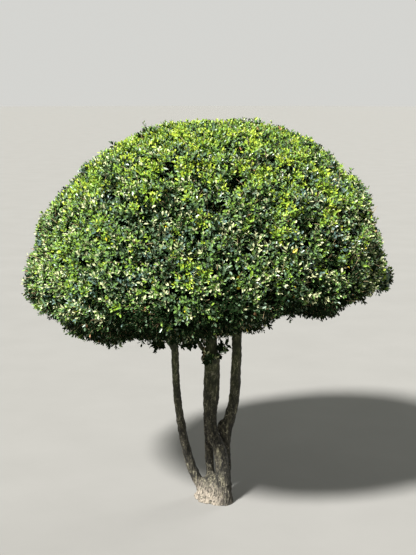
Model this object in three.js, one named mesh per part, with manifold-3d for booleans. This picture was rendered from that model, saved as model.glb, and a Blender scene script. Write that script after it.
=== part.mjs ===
// A multi-stemmed umbrella topiary: a small-leaved evergreen shrub, rooted in the ground, that stands on
// three bare stems from one root flare and carries one clipped dome of leaves.
// Millimetres, +Z up. The origin is the middle of the flat cut at ground level, and the front is -Y.
import * as THREE from "three";
import { mergeVertices } from "three/addons/utils/BufferGeometryUtils.js";
import Module from "manifold-3d";

const wasm = await Module();
wasm.setup();

// Gap kept between pieces that meet, because meshes hold 32-bit numbers.
const SEAT_GAP = 0.3;

// The clipped dome: a half ellipsoid over a shallower one, wide and low like an umbrella.
const CROWN = {
  middle: [-30, 0],
  halfWidth: 672,
  halfDepth: 650,
  rimHeight: 868,
  topRise: 570,
  undersideDrop: 178,
  topLean: 46, // the top sits this far to the right of the rim
  undersideTilt: { left: 0.11, right: 0.23 }, // it climbs to the right by these shares of the way across
  topFullness: 2.1, // exponent of the dome's outline: 2 is an ellipse, more is squarer
  undersideFullness: 2.2,
  around: 64,
  upAndDown: 32,
};

// Shears leave the dome uneven. Each lump stands out, or sinks where it is negative, by its height.
const SHEAR_LUMPS = [
  { azimuth: 4, elevation: 46, spread: 15, height: -16 },
  { azimuth: 0, elevation: 32, spread: 7, height: 32 },
  { azimuth: 0, elevation: 10, spread: 9, height: -14 },
  { azimuth: 0, elevation: 68, spread: 12, height: 14 },
  { azimuth: 166, elevation: 33, spread: 18, height: -5 },
  { azimuth: 158, elevation: 70, spread: 13, height: 12 },
  { azimuth: 180, elevation: 2, spread: 14, height: 12 },
  { azimuth: 0, elevation: 25, spread: 12, height: -8 },
  { azimuth: -20, elevation: 58, spread: 7, height: 14 },
  { azimuth: 75, elevation: 40, spread: 20, height: 14 },
  { azimuth: 115, elevation: 20, spread: 16, height: -12 },
  { azimuth: -95, elevation: 12, spread: 18, height: 8 },
];
// Besides them, low ripples lie all over the dome, each a bump around a random direction.
const RIPPLES = { count: 26, height: 7, narrowest: 9, widest: 19, lowest: -45, seed: 7 };

// Clumps that hang below the underside, and hollows in it where drop is negative.
const UNDERSIDE_CLUMPS = [
  { at: [-560, -230], spread: 60, drop: -30 },
  { at: [-445, -240], spread: 60, drop: 48 },
  { at: [-330, -380], spread: 70, drop: -12 },
  { at: [-150, -160], spread: 110, drop: 6 },
  { at: [158, -262], spread: 46, drop: 44 },
  { at: [256, -520], spread: 62, drop: -84 },
  { at: [268, -390], spread: 70, drop: -30 },
  { at: [268, -200], spread: 70, drop: -18 },
  { at: [398, -300], spread: 50, drop: 52 },
  { at: [500, -300], spread: 50, drop: -22 },
  { at: [580, 10], spread: 75, drop: 46 },
  { at: [470, 330], spread: 110, drop: 52 },
  { at: [150, 380], spread: 120, drop: 34 },
  { at: [-280, 320], spread: 110, drop: 22 },
];

// The stump that all stems share. Each buttress runs out under a stem, or along a surface root.
const FLARE = {
  height: 92,
  footRadius: 56,
  neckRadius: 40,
  spreading: 2.4, // exponent of the hollow curve from neck to foot
  shoulderFrom: 0.62, // above this share of the height the stump closes in over its top
  shoulderSpan: 0.4, // and it would close fully over this share more
  sides: 40,
  layers: 9,
  buttresses: [
    { azimuth: 155, spread: 32, reach: 22 },
    { azimuth: -56, spread: 26, reach: 44 },
    { azimuth: 35, spread: 30, reach: 20 },
    { azimuth: 100, spread: 28, reach: 22 },
    { azimuth: -130, spread: 24, reach: 14 },
  ],
};

const BUTTRESS_AT_NECK = 0.35; // a buttress's reach at the neck, as a share of its reach at the foot

// Each limb runs through its points, foot first, with the diameter that it has at each.
const LEFT_STEM = {
  through: [
    [-38, 20, 16],
    [-81, 20, 103],
    [-113, 1, 225],
    [-138, -34, 400],
    [-145, -80, 560],
    [-147, -118, 720],
  ],
  diameter: [46, 38, 32, 28, 26.5, 25],
};
const MIDDLE_BACK_LEG = {
  through: [
    [-12, 46, 50],
    [-19, 38, 170],
    [-22, 16, 280],
    [-24, 2, 400],
    [-20, -9, 500],
    [-17, -14, 572],
  ],
  diameter: [36, 32, 33, 36, 36, 42],
};
const MIDDLE_FRONT_LEG = {
  through: [
    [38, -54, 6],
    [33, -50, 115],
    [23, -36, 200],
    [-5, -18, 265],
    [-8, -9, 330],
    [1, -7, 440],
    [-2, -15, 572],
  ],
  diameter: [62, 55, 49, 41, 35, 38, 44],
};
// Above the node the two middle legs go on as one.
const MIDDLE_TOP = {
  through: [
    [-10, -14, 545],
    [-10, -18, 610],
    [-16, -24, 740],
  ],
  diameter: [56, 42, 38],
};
const RIGHT_STEM = {
  through: [
    [46, 20, 16],
    [41, 34, 150],
    [43, 38, 240],
    [57, 39, 300],
    [76, 43, 380],
    [85, 54, 540],
    [90, 64, 740],
  ],
  diameter: [50, 46, 46, 43, 40, 38.5, 36],
};
const SIDE_BOUGH = {
  through: [
    [-22, -13, 562],
    [-36, -22, 590],
    [-64, -46, 634],
    [-98, -82, 735],
  ],
  diameter: [23, 19, 14, 12],
};
const LEFT_BOUGH = {
  through: [
    [-146, -96, 600],
    [-153, -107, 622],
    [-170, -122, 652],
    [-196, -144, 735],
  ],
  diameter: [15, 16, 13.5, 11],
};
const LIMB_SIDES = 13;
const LIMB_STEP = 36;
// Old wood is fluted: waves around a limb's section, each a share of its radius deep, that twist along it.
const FLUTES = [
  { count: 3, depth: 0.05, twist: 2 },
  { count: 5, depth: 0.025, twist: -7 },
];

// Swellings: where the middle legs have grown into one, and where a bough was cut off the right stem.
const MIDDLE_NODE = { at: [-14, -14, 556], size: [69, 54, 56] };
const RIGHT_KNOB = { at: [36, 36, 271], size: [45, 42, 64] };
const SWELLING_AROUND = 16;
const SWELLING_UP = 10;

// Leafy shoots that hang below the crown or grow straight from old wood.
const SPRAYS = {
  side_bough_spray: { at: [-84, -66, 642], size: [66, 56, 44] },
  middle_front_spray: { at: [-5, -48, 570], size: [34, 34, 56] },
  middle_right_spray: { at: [28, -34, 602], size: [40, 34, 36] },
  left_low_spray: { at: [-206, -150, 653], size: [42, 46, 54] },
};
const SPRAY_AROUND = 14;
const SPRAY_UP = 8;
const SPRAY_RAGGED = 0.14; // how far its surface waves in and out, as a share of its size
const SPRAY_WAVES = { x: 4, y: 5, z: 3 };

const GROUND_CUT = { side: 600, depth: 200 };

const COLOURS = { bark: 0x4a4032, leaves: 0x47662b };
const bark = new THREE.MeshStandardMaterial({ color: COLOURS.bark, roughness: 0.9, metalness: 0 });
const leaves = new THREE.MeshStandardMaterial({ color: COLOURS.leaves, roughness: 0.55, metalness: 0 });

// Seeded random numbers from 0 to 1, so that every build is the same.
function randomNumbers(seed) {
  let state = seed >>> 0;
  return () => {
    state = (state + 0x6d2b79f5) >>> 0;
    let t = Math.imul(state ^ (state >>> 15), 1 | state);
    t = (t + Math.imul(t ^ (t >>> 7), 61 | t)) ^ t;
    return ((t ^ (t >>> 14)) >>> 0) / 4294967296;
  };
}

function directionOf(azimuth, elevation) {
  const turn = THREE.MathUtils.degToRad(azimuth);
  const tilt = THREE.MathUtils.degToRad(elevation);
  const flat = Math.cos(tilt);
  return new THREE.Vector3(flat * Math.cos(turn), flat * Math.sin(turn), Math.sin(tilt));
}

function makeRipples() {
  const random = randomNumbers(RIPPLES.seed);
  const lowest = Math.sin(THREE.MathUtils.degToRad(RIPPLES.lowest));
  return Array.from({ length: RIPPLES.count }, () => ({
    azimuth: 360 * random(),
    elevation: THREE.MathUtils.radToDeg(Math.asin(THREE.MathUtils.lerp(lowest, 1, random()))),
    spread: THREE.MathUtils.lerp(RIPPLES.narrowest, RIPPLES.widest, random()),
    height: RIPPLES.height * (random() * 2 - 1),
  }));
}

const bell = (distance, spread) => Math.exp(-0.5 * (distance / spread) ** 2);

const bumps = [...SHEAR_LUMPS, ...makeRipples()].map(({ azimuth, elevation, spread, height }) => ({
  direction: directionOf(azimuth, elevation),
  spread: THREE.MathUtils.degToRad(spread),
  height,
}));

// How far the surface stands out of the plain dome in a direction.
const unevenness = (direction) =>
  bumps.reduce((sum, bump) => sum + bump.height * bell(direction.angleTo(bump.direction), bump.spread), 0);

// The dome's surface point in a direction from its middle.
function crownPoint(direction, grow) {
  const up = direction.z >= 0;
  const fullness = up ? CROWN.topFullness : CROWN.undersideFullness;
  const flat = Math.hypot(direction.x, direction.y);
  const turn = Math.atan2(direction.y, direction.x);
  const across = flat ** (2 / fullness);
  const tall = Math.abs(direction.z) ** (2 / fullness);
  const out = unevenness(direction) + grow;
  const point = new THREE.Vector3(
    (CROWN.halfWidth + out) * across * Math.cos(turn),
    (CROWN.halfDepth + out) * across * Math.sin(turn),
    up ? (CROWN.topRise + out) * tall : -(CROWN.undersideDrop + out) * tall,
  );
  if (up) point.x += CROWN.topLean * tall;
  else point.z += (point.x < 0 ? CROWN.undersideTilt.left : CROWN.undersideTilt.right) * point.x * tall;
  point.add(new THREE.Vector3(...CROWN.middle, CROWN.rimHeight));
  if (!up)
    for (const { at, spread, drop } of UNDERSIDE_CLUMPS)
      point.z -= drop * Math.sqrt(tall) * bell(Math.hypot(point.x - at[0], point.y - at[1]), spread);
  return point;
}

// A sphere's mesh with its poles on Z, each corner moved to where place() puts its direction.
function shapedSphere(around, upAndDown, place) {
  const geometry = new THREE.SphereGeometry(1, around, upAndDown).rotateX(Math.PI / 2);
  const corners = geometry.getAttribute("position");
  const direction = new THREE.Vector3();
  for (let i = 0; i < corners.count; i++) {
    direction.fromBufferAttribute(corners, i).normalize();
    corners.setXYZ(i, ...place(direction).toArray());
  }
  return geometry;
}

const crownGeometry = (grow) =>
  shapedSphere(CROWN.around, CROWN.upAndDown, (direction) => crownPoint(direction, grow));

// A stack of closed rings, bottom first, capped at both ends by a fan to each end's middle.
function stackRings(rings) {
  const sides = rings[0].length;
  const middleOf = (ring) => ring.reduce((sum, p) => sum.add(p), new THREE.Vector3()).divideScalar(sides);
  const corners = [...rings.flat(), middleOf(rings[0]), middleOf(rings.at(-1))];
  const [bottom, top] = [corners.length - 2, corners.length - 1];
  const faces = [];
  for (let side = 0; side < sides; side++) {
    const next = (side + 1) % sides;
    for (let layer = 0; layer < rings.length - 1; layer++) {
      const [low, high] = [layer * sides, (layer + 1) * sides];
      faces.push(low + side, low + next, high + next, low + side, high + next, high + side);
    }
    const last = (rings.length - 1) * sides;
    faces.push(bottom, next, side, top, last + side, last + next);
  }
  const geometry = new THREE.BufferGeometry().setFromPoints(corners);
  geometry.setIndex(faces);
  return geometry;
}

// A tapering limb along a smooth curve, with a section that is a little fluted as old wood is.
function limbGeometry(limb, grow = 0) {
  const curve = new THREE.CatmullRomCurve3(
    limb.through.map((p) => new THREE.Vector3(...p)),
    false,
    "centripetal",
  );
  const spans = limb.through.length - 1;
  const steps = Math.max(2 * spans, Math.round(curve.getLength() / LIMB_STEP));
  const depthwards = new THREE.Vector3(0, 1, 0);
  const rings = Array.from({ length: steps + 1 }, (_, step) => {
    const t = step / steps;
    const span = Math.min(spans - 1, Math.floor(t * spans));
    const radius = THREE.MathUtils.lerp(limb.diameter[span], limb.diameter[span + 1], t * spans - span) / 2;
    const tangent = curve.getTangent(t);
    const sideways = new THREE.Vector3().crossVectors(depthwards, tangent).normalize();
    const forward = new THREE.Vector3().crossVectors(tangent, sideways);
    return Array.from({ length: LIMB_SIDES }, (_, side) => {
      const turn = (side / LIMB_SIDES) * 2 * Math.PI;
      const waves = FLUTES.map(({ count, depth, twist }) => depth * Math.sin(count * turn + twist * t));
      const out = radius * waves.reduce((sum, wave) => sum + wave, 1) + grow;
      return curve
        .getPoint(t)
        .addScaledVector(sideways, out * Math.cos(turn))
        .addScaledVector(forward, out * Math.sin(turn));
    });
  });
  return stackRings(rings);
}

// The stump: level rings that widen to the ground, more so along each buttress, under a low domed top.
function flareGeometry(grow = 0) {
  const { height, footRadius, neckRadius, spreading, buttresses } = FLARE;
  const radiusAt = (turn, share) => {
    const widening = (1 - share) ** spreading;
    let radius = neckRadius + (footRadius - neckRadius) * widening;
    for (const { azimuth, spread, reach } of buttresses) {
      const ahead = THREE.MathUtils.radToDeg(turn) - azimuth;
      const away = THREE.MathUtils.euclideanModulo(ahead + 180, 360) - 180;
      radius += reach * THREE.MathUtils.lerp(BUTTRESS_AT_NECK, 1, widening) * bell(away, spread);
    }
    return radius + grow;
  };
  const rings = Array.from({ length: FLARE.layers + 1 }, (_, layer) => {
    const share = layer / FLARE.layers;
    const closing = Math.max(0, (share - FLARE.shoulderFrom) / FLARE.shoulderSpan);
    return Array.from({ length: FLARE.sides }, (_, side) => {
      const turn = (side / FLARE.sides) * 2 * Math.PI;
      const radius = radiusAt(turn, share) * Math.sqrt(1 - closing ** 2);
      return new THREE.Vector3(radius * Math.cos(turn), radius * Math.sin(turn), share * (height + grow));
    });
  });
  return stackRings(rings);
}

// A small ragged clump of leaves.
function sprayGeometry({ at, size }) {
  return shapedSphere(SPRAY_AROUND, SPRAY_UP, (direction) => {
    const wave = Math.sin(SPRAY_WAVES.x * direction.x + SPRAY_WAVES.z * direction.z);
    const ragged = 1 + SPRAY_RAGGED * wave * Math.cos(SPRAY_WAVES.y * direction.y);
    return direction
      .clone()
      .multiply(new THREE.Vector3(...size))
      .multiplyScalar(0.5 * ragged)
      .add(new THREE.Vector3(...at));
  });
}

// A closed three.js mesh as a solid that can be joined and cut.
function solid(geometry) {
  const plain = new THREE.BufferGeometry().setAttribute("position", geometry.getAttribute("position"));
  plain.setIndex(geometry.getIndex());
  const merged = mergeVertices(plain, 1e-3);
  return new wasm.Manifold(
    new wasm.Mesh({
      numProp: 3,
      vertProperties: new Float32Array(merged.getAttribute("position").array),
      triVerts: new Uint32Array(merged.getIndex().array),
    }),
  );
}

// The largest body of a cut solid, as a mesh with its name and material.
function piece(name, made, material) {
  const body = made.decompose().reduce((most, next) => (next.volume() > most.volume() ? next : most));
  const { numProp, vertProperties, triVerts } = body.getMesh();
  const geometry = new THREE.BufferGeometry()
    .setAttribute("position", new THREE.BufferAttribute(new Float32Array(vertProperties), numProp))
    .setIndex(new THREE.BufferAttribute(new Uint32Array(triVerts), 1));
  geometry.computeVertexNormals();
  const mesh = new THREE.Mesh(geometry, material);
  mesh.name = name;
  return mesh;
}

// A slab whose top is at ground level, to cut off what reaches lower.
function belowGround() {
  const { side, depth } = GROUND_CUT;
  return solid(new THREE.BoxGeometry(side, side, depth).translate(0, 0, -depth / 2));
}

// A swelling of old wood, as an upright ellipsoid.
function swelling({ at, size }, grow) {
  const shaped = shapedSphere(SWELLING_AROUND, SWELLING_UP, (direction) =>
    direction
      .clone()
      .multiply(new THREE.Vector3(...size))
      .multiplyScalar(0.5)
      .addScaledVector(direction, grow)
      .add(new THREE.Vector3(...at)),
  );
  return solid(shaped);
}

const limb = (sizes, grow = 0) => solid(limbGeometry(sizes, grow));

// The middle stem: two legs that have grown together and go on as one above the node.
const middleStem = (grow) =>
  limb(MIDDLE_BACK_LEG, grow)
    .add(limb(MIDDLE_FRONT_LEG, grow))
    .add(limb(MIDDLE_TOP, grow))
    .add(swelling(MIDDLE_NODE, grow));

const rightStem = (grow) => limb(RIGHT_STEM, grow).add(swelling(RIGHT_KNOB, grow));

function buildTopiary() {
  const ground = belowGround();
  const flare = solid(flareGeometry()).subtract(ground);
  const crownSeat = solid(crownGeometry(SEAT_GAP));
  const flareSeat = solid(flareGeometry(SEAT_GAP));
  // A stem starts on the root flare and ends where it enters the crown.
  const seated = (stem) => stem.subtract(flareSeat).subtract(crownSeat).subtract(ground);

  const middle = seated(middleStem(0));
  const middleSeat = middleStem(SEAT_GAP);
  const left = seated(limb(LEFT_STEM).subtract(middleSeat));
  const leftSeat = limb(LEFT_STEM, SEAT_GAP);
  const right = seated(rightStem(0).subtract(middleSeat));
  const rightSeat = rightStem(SEAT_GAP);
  const sideBough = limb(SIDE_BOUGH).subtract(middleSeat).subtract(crownSeat);
  const leftBough = limb(LEFT_BOUGH).subtract(leftSeat).subtract(crownSeat);
  const boughSeats = [SIDE_BOUGH, LEFT_BOUGH].map((sizes) => limb(sizes, SEAT_GAP));

  const topiary = new THREE.Group();
  topiary.add(
    piece("root_flare", flare, bark),
    piece("left_stem", left, bark),
    piece("middle_stem", middle, bark),
    piece("right_stem", right, bark),
    piece("side_bough", sideBough, bark),
    piece("left_bough", leftBough, bark),
    piece("clipped_crown", solid(crownGeometry(0)), leaves),
  );
  const seats = [middleSeat, leftSeat, rightSeat, ...boughSeats, crownSeat];
  for (const [name, spray] of Object.entries(SPRAYS)) {
    const cut = seats.reduce((made, seat) => made.subtract(seat), solid(sprayGeometry(spray)));
    topiary.add(piece(name, cut, leaves));
  }
  return topiary;
}

export default buildTopiary();
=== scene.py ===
import math

import bmesh
import bpy
import numpy as np
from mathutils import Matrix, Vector
from mathutils.bvhtree import BVHTree


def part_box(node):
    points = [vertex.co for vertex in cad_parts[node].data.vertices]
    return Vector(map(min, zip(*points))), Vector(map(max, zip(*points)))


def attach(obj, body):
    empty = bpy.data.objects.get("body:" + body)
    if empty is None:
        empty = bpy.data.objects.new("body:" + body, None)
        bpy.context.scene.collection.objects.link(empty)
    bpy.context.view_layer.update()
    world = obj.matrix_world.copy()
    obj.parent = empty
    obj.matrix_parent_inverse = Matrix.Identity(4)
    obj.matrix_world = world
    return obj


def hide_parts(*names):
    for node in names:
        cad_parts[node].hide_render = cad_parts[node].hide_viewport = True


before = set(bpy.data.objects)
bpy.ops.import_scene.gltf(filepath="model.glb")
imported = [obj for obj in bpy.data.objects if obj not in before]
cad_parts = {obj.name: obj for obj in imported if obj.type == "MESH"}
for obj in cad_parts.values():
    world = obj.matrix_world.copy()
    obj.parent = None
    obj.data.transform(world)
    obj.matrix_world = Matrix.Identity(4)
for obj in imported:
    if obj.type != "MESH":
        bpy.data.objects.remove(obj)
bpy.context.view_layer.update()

# All sizes are in metres, unless a name says otherwise.
MM = 0.001
UP = np.array((0.0, 0.0, 1.0))
GOLDEN_ANGLE = math.radians(137.5)
TURN = 2 * math.pi
SEED = 1126

# A vector shorter than this has no way to point, and an axis with more than this of Z is upright.
LEAST_LENGTH = 1e-9
UPRIGHT = 0.9

# The camera stands at eye height in front of the plant and looks a little down.
CAMERA_AT = (-0.023, -4.04, 1.60)
CAMERA_PITCH_DEG = 10.3
FOCAL_PX = 1100
LONG_SIDE_PX = 555
SENSOR_MM = 36

# The lamps, by the way that their light goes, and the surround, which darkens from the horizon up.
KEY_LAMP = {"towards": (0.53, 0.72, -0.94), "strength": 10.0, "spread_deg": 8}
BACK_LAMP = {"towards": (-0.70, -0.75, -0.60), "strength": 1.3, "spread_deg": 30}
SURROUND_STRENGTH = 0.87
SURROUND_RISE = (0.075, 0.32)

# The floor is a wide round disc with a faint mottle.
FLOOR_RADIUS = 60
FLOOR_SIDES = 96
FLOOR_MOTTLE_SIZE = 1 / 3

# The woody limbs of the frame, and the masses of leaves that hang on them.
LIMBS = ("root_flare", "left_stem", "middle_stem", "right_stem", "side_bough", "left_bough")
CROWN = "clipped_crown"
LOW_SPRAYS = ("side_bough_spray", "middle_front_spray", "middle_right_spray", "left_low_spray")

# The skin of the stems: copies of the frame's limbs swell until they meet, and become one skin. Its
# faces are smaller on the stems than on the boughs in the crown.
WELD = 0.01 * MM
LIMB_SWELL = 0.4 * MM
STEM_FACE = 2.3 * MM
BOUGH_FACE = 3.2 * MM

# How many points there are in each ring round a limb of the frame.
RING = 13

# The sizes and depths of the patterns in the bark, and where the algae, upwards, and the dust, downwards
# and to the left, set in and are full. The ridges and the grain are drawn coarser than real ones, so that
# they show.
BLOTCH_SIZE = 32 * MM
RIDGE_SIZE = 8 * MM
RIDGE_DEPTH = 3 * MM
SPECK_SIZE = 11 * MM
FIBRE_SIZE = 7 * MM
GRAIN_SIZE = 3 * MM
GRAIN_DEPTH = 1.5 * MM
TWIG_MOTTLE_SIZE = 14 * MM
ALGAE_HEIGHTS = (0.28, 0.62)
DUST_HEIGHTS = (0.082, 0.03)
DUST_ACROSS = (0.045, 0.005)

# The blotches, the ridges, and the fibres with their grain are stretched upwards, by squeezing their
# coordinates.
BLOTCH_SQUEEZE = (1, 1, 0.45)
RIDGE_SQUEEZE = (1, 1, 0.28)
FIBRE_SQUEEZE = (1, 1, 0.35)

# The bark's tones, from its fissures to the tops of its ridges, each with its place in the pattern.
BARK_TONES = ((0.34, "#0f0d09"), (0.46, "#25221b"), (0.57, "#4b4739"), (0.68, "#8d8871"))

# Bark relief in the mesh: furrows over longer lumps, and near the ground flutes that end in the roots.
FURROW = {"Furrow width": 6 * MM, "Furrow length": 26 * MM, "Furrow depth": 5 * MM}
LUMP = {"Lump width": 19 * MM, "Lump length": 32 * MM, "Lump depth": 9 * MM}
FLUTE = {"Flute width": 24 * MM, "Flute length": 0.16, "Flute depth": 26 * MM}
FOOT_HEIGHT = 0.12
FOOT_ROUGHER = 2.2
FOOT_ROUNDING = 60
FOOT_EDGE = 14 * MM

# Where each limb that enters the crown leads to: the leaves nearest to this place grow from it.
AIMS = {
    "left_stem": (-0.42, 0.14, 1.02),
    "left_bough": (-0.40, -0.34, 0.90),
    "middle_stem": (-0.02, 0.02, 1.30),
    "side_bough": (-0.02, -0.46, 0.95),
    "right_stem": (0.38, 0.02, 1.00),
}

# The branching rule. A limb runs part of the way to the middle of its leaves, and forks into two
# uneven shares.
LIMB_OVERLAP = 15 * MM
FORK_AT = (0.24, 0.34)
FORK_SHARE = (0.36, 0.64)
FORK_TILT = 0.22
KEEPS_HEADING = 0.3
GNARL = 0.07
GIRTH_POWER = 0.42
LEAST_TWIG = 1.1 * MM
SPRAY_LIMB_RADIUS = 2.2 * MM

# Sides and steps of the limbs' tubes. A limb thicker than the bough girth gets its own bark relief.
BOUGH_GIRTH = 4.6 * MM
BOUGH_TUBE = {"Sides": 10, "Steps": 4}
BRANCH_TUBE = {"Sides": 5, "Steps": 2}
TWIG_TUBE = {"Sides": 3, "Steps": 1}

# Tufts are the last forks, as far apart on the face that the shears have cut as their gaps say.
CROWN_TRIES = 26000
SPRAY_TRIES = 900
FACES_DOWN = -0.2
TUFT_GAP = 36 * MM
UNDER_TUFT_GAP = 42 * MM
LOW_TUFT_GAP = 36 * MM
TUFT_RISE = 0.45
TUFT_HANG = 0.5

# How unevenly the tufts were cut, and how deep the broken ones are sunk.
TIP_BELOW_CUT = 10 * MM
TUFT_LIFT = 6 * MM
LOW_TUFT_LIFT = 9 * MM
SUNKEN_SHARE = 0.07
SUNKEN_DEPTH = (18 * MM, 40 * MM)

# The shoots of a tuft spread in a small dome. Their number differs a little from tuft to tuft. A few
# shoots are strays, and a few are bare and dead.
SHOOTS_PER_TUFT = 11
SHOOTS_PER_LOW_TUFT = 4
SHOOTS_DIFFER = 1
SHOOT_LENGTH = 60 * MM
LOW_SHOOT_LENGTH = 34 * MM
SIDE_SHOOTS_FROM = 24 * MM
TUFT_RADIUS = 33 * MM
TUFT_DROP = 6 * MM
SHOOT_UNEVEN = 4 * MM
TWIG_RADIUS = (1.0 * MM, 0.55 * MM)
STRAY_SHARE = 0.022
STRAY_SHARE_UNDER = 0.08
STRAY_LENGTH = (8 * MM, 24 * MM)
BARE_SHARE = 0.030
BARE_LENGTH = (12 * MM, 45 * MM)
BARE_RADIUS = (1.5 * MM, 0.9 * MM)

# Leaves stand in a spiral round each shoot, the youngest and smallest at its tip. The edge of a leaf has
# its corners at these shares of the length, half the width and the fold.
LEAVES_PER_SHOOT = 11
LEAF_GAP = 3.9 * MM
LEAFY_SHARE = 0.96
LEAF_LENGTH = 17.5 * MM
LEAF_WIDTH = 7.5 * MM
LEAF_FOLD = 1.0 * MM
LEAF_CURL = 1.2 * MM
LEAF_EDGE = ((0.30, 0.88, 1.0), (0.70, 1.0, 0.8))
LEAF_SIZES = (0.78, 1.18)
LEAF_AGES = (0, 0.27, 1)
SIZES_BY_AGE = (0.6, 1.0, 1.4)
LEANS_BY_AGE_DEG = (28, 46, 70)
LEAN_SCATTER = 0.16
TURN_SCATTER = 0.2
TURN_TO_LIGHT = 0.45
SKY_PULL = 0.8
FACE_SCATTER = 0.55
LEAVES_PER_PIECE = 45000

# Old leaves sit deeper, along the slender limbs, and close the view into the crown. Their near-black
# shade colour is painted shade in the crown's depths as well as old leaf.
INNER_LEAF_EVERY = 3.8 * MM
INNER_LEAF_LENGTH = 30 * MM
INNER_LEAF_WIDTH = 17 * MM
INNER_LEAN = 0.4
INNER_WIDEST = 0.55
INNER_FOLD = 1 / 3

# Dark holes that the shears and dead twigs have left in the front of the crown: across, height, radius.
HOLLOWS = (
    (-0.156, 1.320, 0.040),
    (0.085, 1.275, 0.028),
    (-0.012, 1.185, 0.030),
    (0.222, 1.262, 0.024),
    (0.480, 1.070, 0.018),
    (0.300, 1.075, 0.028),
    (0.430, 0.985, 0.028),
    (0.105, 1.010, 0.024),
    (-0.300, 0.975, 0.022),
    (-0.455, 1.010, 0.020),
    (0.200, 0.905, 0.022),
    (-0.120, 0.925, 0.020),
)
HOLLOW_DEPTH = 56 * MM

# Where the photo's outline lies inside the frame's, or with a minus outside it: across, height,
# radius, depth.
TRIMS = (
    (0.600, 1.120, 0.07, 17 * MM),
    (0.550, 1.200, 0.07, 8 * MM),
    (0.337, 0.780, 0.06, -28 * MM),
    (-0.370, 0.700, 0.05, -18 * MM),
    (-0.690, 0.950, 0.12, 11 * MM),
    (0.150, 1.450, 0.08, 6 * MM),
    (0.640, 0.880, 0.030, -24 * MM),
    (0.450, 1.340, 0.018, -16 * MM),
)


def linear(hex_colour):
    """An sRGB hex colour as the linear colour that a socket takes."""
    shares = [int(hex_colour[i:i + 2], 16) / 255 for i in (1, 3, 5)]
    return (*[s / 12.92 if s <= 0.04045 else ((s + 0.055) / 1.055) ** 2.4 for s in shares], 1)


# The leaf colours by kind: plain colour, roughness, and gloss, which old and inner leaves have lost. The
# cream kind paints glints of light on the waxy leaves, and the near-black shade kind is painted shade as
# well as old leaves.
LEAF_KINDS = {
    "flush": ("#9eb02b", 0.58, 0.75),
    "fresh": ("#7a9b2a", 0.55, 0.75),
    "summer": ("#5f803a", 0.46, 0.85),
    "mature": ("#566f4f", 0.38, 1.0),
    "bluish": ("#5b766b", 0.34, 1.0),
    "cream": ("#babe8f", 0.50, 0.5),
    "shade": ("#13240c", 0.70, 0.1),
    "yellow": ("#d0bb2f", 0.50, 0.4),
    "withered": ("#9a7450", 0.60, 0.3),
}

# The mix of leaves in each kind of spray. The cream leaves in them are painted glints, and the shade leaves
# painted shade between the others.
SPRAYS = {
    "flush": {"flush": 0.66, "fresh": 0.28, "cream": 0.01, "summer": 0.05},
    "fresh": {"fresh": 0.62, "summer": 0.24, "flush": 0.10, "mature": 0.03, "cream": 0.01},
    "summer": {"summer": 0.60, "fresh": 0.13, "mature": 0.14, "cream": 0.04, "shade": 0.09},
    "mature": {"mature": 0.56, "summer": 0.15, "cream": 0.13, "shade": 0.16},
    "bluish": {"bluish": 0.56, "mature": 0.18, "cream": 0.13, "shade": 0.13},
    "cream": {"cream": 0.50, "fresh": 0.14, "summer": 0.22, "shade": 0.14},
    "shade": {"shade": 0.91, "mature": 0.09},
}
YELLOW_SHARE = 0.0013
WITHERED_SHARE = 0.0016

# What each kind becomes with age, at two points down the shoot. Mature and bluish leaves become the
# near-black shade kind, which is painted shade deep in the tufts as well as old leaves.
OLDER = {"flush": "fresh", "fresh": "summer", "summer": "mature", "mature": "shade", "bluish": "shade",
         "cream": "summer", "shade": "shade", "yellow": "yellow", "withered": "withered"}
OLDER_FROM = (0.35, 0.70)
AGE_SCATTER = 0.12

# How the kinds of spray are dealt out: a share everywhere, and what is added to it towards the top, or
# with a minus taken away.
SLOPE_POWER = 2.2
LEAST_SHARE = 0.01
SHARES = {
    "flush": (-0.14, 1.46),
    "fresh": (0.12, 0.90),
    "summer": (0.85, 0.0),
    "mature": (0.75, -0.60),
    "bluish": (0.42, -0.37),
    "cream": (0.54, -0.51),
    "shade": (0.20, -0.20),
}

# Places in the front of the crown with more of one kind: kind, across, height, radius, share. The shade
# patches are painted shade, and the cream patches painted glints.
FRONT_TO = 0.1
PATCHES = (
    ("flush", 0.08, 1.40, 0.26, 1.2),
    ("flush", 0.16, 1.26, 0.13, 0.8),
    ("flush", 0.36, 1.30, 0.12, 0.9),
    ("flush", -0.22, 1.36, 0.10, 0.7),
    ("fresh", -0.46, 1.14, 0.18, 1.3),
    ("fresh", -0.50, 0.94, 0.15, 0.9),
    ("cream", -0.44, 1.06, 0.18, 1.2),
    ("cream", -0.46, 0.90, 0.14, 0.5),
    ("cream", -0.16, 0.98, 0.20, 0.9),
    ("cream", 0.02, 0.96, 0.16, 0.7),
    ("bluish", -0.04, 1.20, 0.09, 1.6),
    ("bluish", -0.14, 1.02, 0.16, 1.0),
    ("bluish", 0.34, 1.05, 0.14, 0.9),
    ("mature", 0.05, 1.20, 0.16, 1.4),
    ("shade", 0.10, 1.23, 0.18, 0.6),
    ("mature", -0.24, 1.24, 0.18, 0.7),
    ("shade", -0.24, 1.22, 0.16, 0.3),
    ("mature", 0.00, 0.94, 0.30, 1.0),
    ("fresh", 0.46, 1.10, 0.20, 1.0),
    ("bluish", 0.46, 1.18, 0.12, 0.5),
    ("cream", 0.10, 0.94, 0.20, 0.8),
    ("shade", 0.00, 0.78, 0.14, 2.0),
    ("shade", 0.40, 0.85, 0.15, 3.2),
    ("cream", 0.44, 1.07, 0.16, 1.7),
    ("cream", 0.12, 1.06, 0.22, 0.8),
    ("summer", 0.12, 1.06, 0.25, 0.8),
    ("summer", 0.44, 1.02, 0.20, 1.0),
    # Painted light: fresh and bluish leaves on the far right tip, which the key lamp leaves in shade.
    ("fresh", 0.62, 0.88, 0.06, 3.0),
    ("bluish", 0.62, 0.88, 0.06, 3.0),
)

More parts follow.
